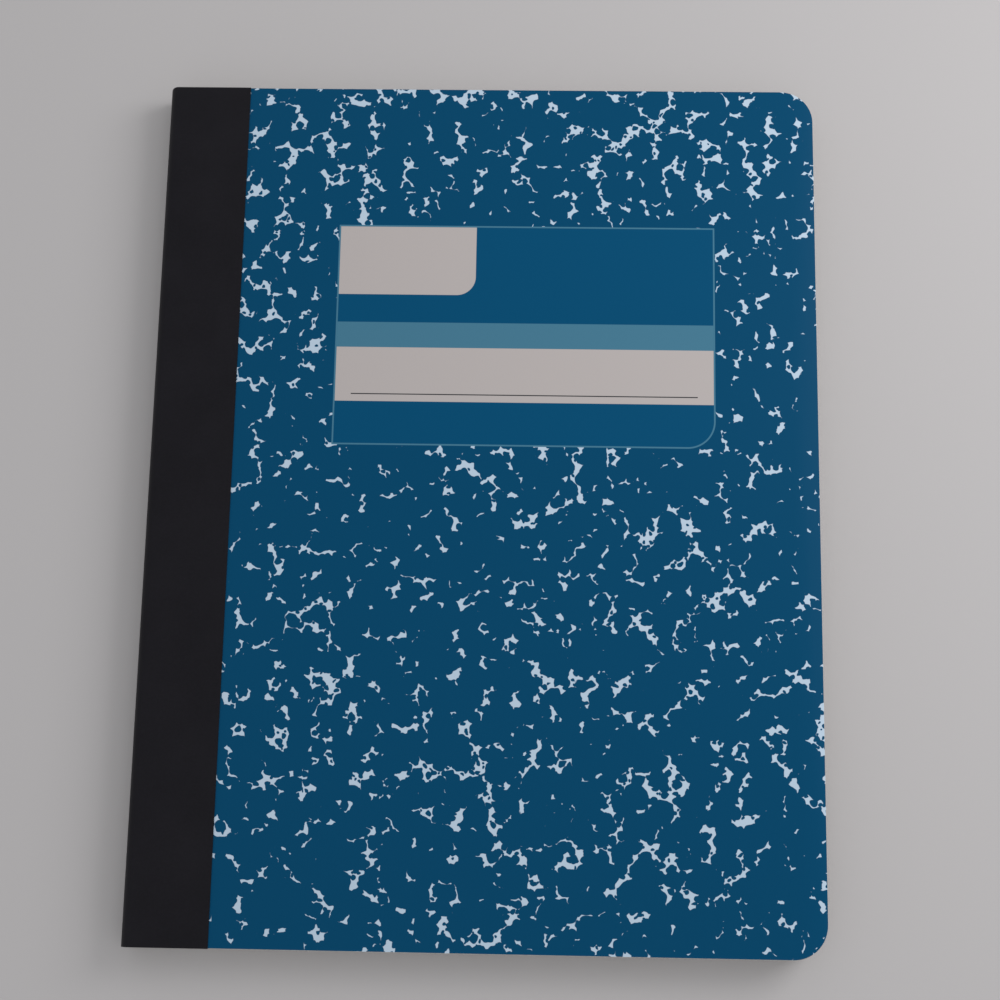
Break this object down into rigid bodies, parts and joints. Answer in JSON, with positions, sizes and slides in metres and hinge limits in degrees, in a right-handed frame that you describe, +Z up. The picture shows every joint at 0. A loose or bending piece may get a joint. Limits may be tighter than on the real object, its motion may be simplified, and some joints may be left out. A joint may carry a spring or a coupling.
{
  "type": "composition notebook",
  "caption": "Closed composition notebook with marbled board covers, a rounded cloth-taped spine, trimmed pages with rounded corners and a printed name label; both covers swing open.",
  "frame": {"origin": "centre of the closed book's box, on the surface that its back cover lies on", "axes": "+X from the spine to the fore-edge, +Y from the tail to the head, +Z up out of the front cover"},
  "size_m": [0.1905, 0.2476, 0.0107],
  "materials": {
    "page_paper": "uncoated white writing paper",
    "sewing_thread": "white spun thread",
    "spine_tape": "black coated cloth tape, satin",
    "cover_board": "blue printed and varnished cover board",
    "lining_paper": "white lining paper",
    "unprinted_white": "unprinted white flecks under varnish",
    "label_white": "white field of the printed label",
    "label_light_blue": "light blue print of the label",
    "label_dark": "dark printed writing line"
  },
  "bodies": {
    "pages": {"page_block": "page_paper", "sewing_thread": "sewing_thread", "spine_tape": "spine_tape"},
    "front_cover": {"front_board": "cover_board", "front_tape_wing": "spine_tape", "front_end_paper": "lining_paper", "front_marbling": "unprinted_white", "label_whites": "label_white", "label_light_blue": "label_light_blue", "label_writing_line": "label_dark"},
    "back_cover": {"back_board": "cover_board", "back_tape_wing": "spine_tape", "back_end_paper": "lining_paper", "back_marbling": "unprinted_white"}
  },
  "joints": [
    {"name": "front_cover_hinge", "type": "hinge", "parent": "pages", "child": "front_cover", "pos_m": [-0.09414, 0, 0.00961], "axis": [0, -1, 0], "range_deg": [0, 178]},
    {"name": "back_cover_hinge", "type": "hinge", "parent": "pages", "child": "back_cover", "pos_m": [-0.09414, 0, 0.00109], "axis": [0, 1, 0], "range_deg": [0, 178]}
  ]
}
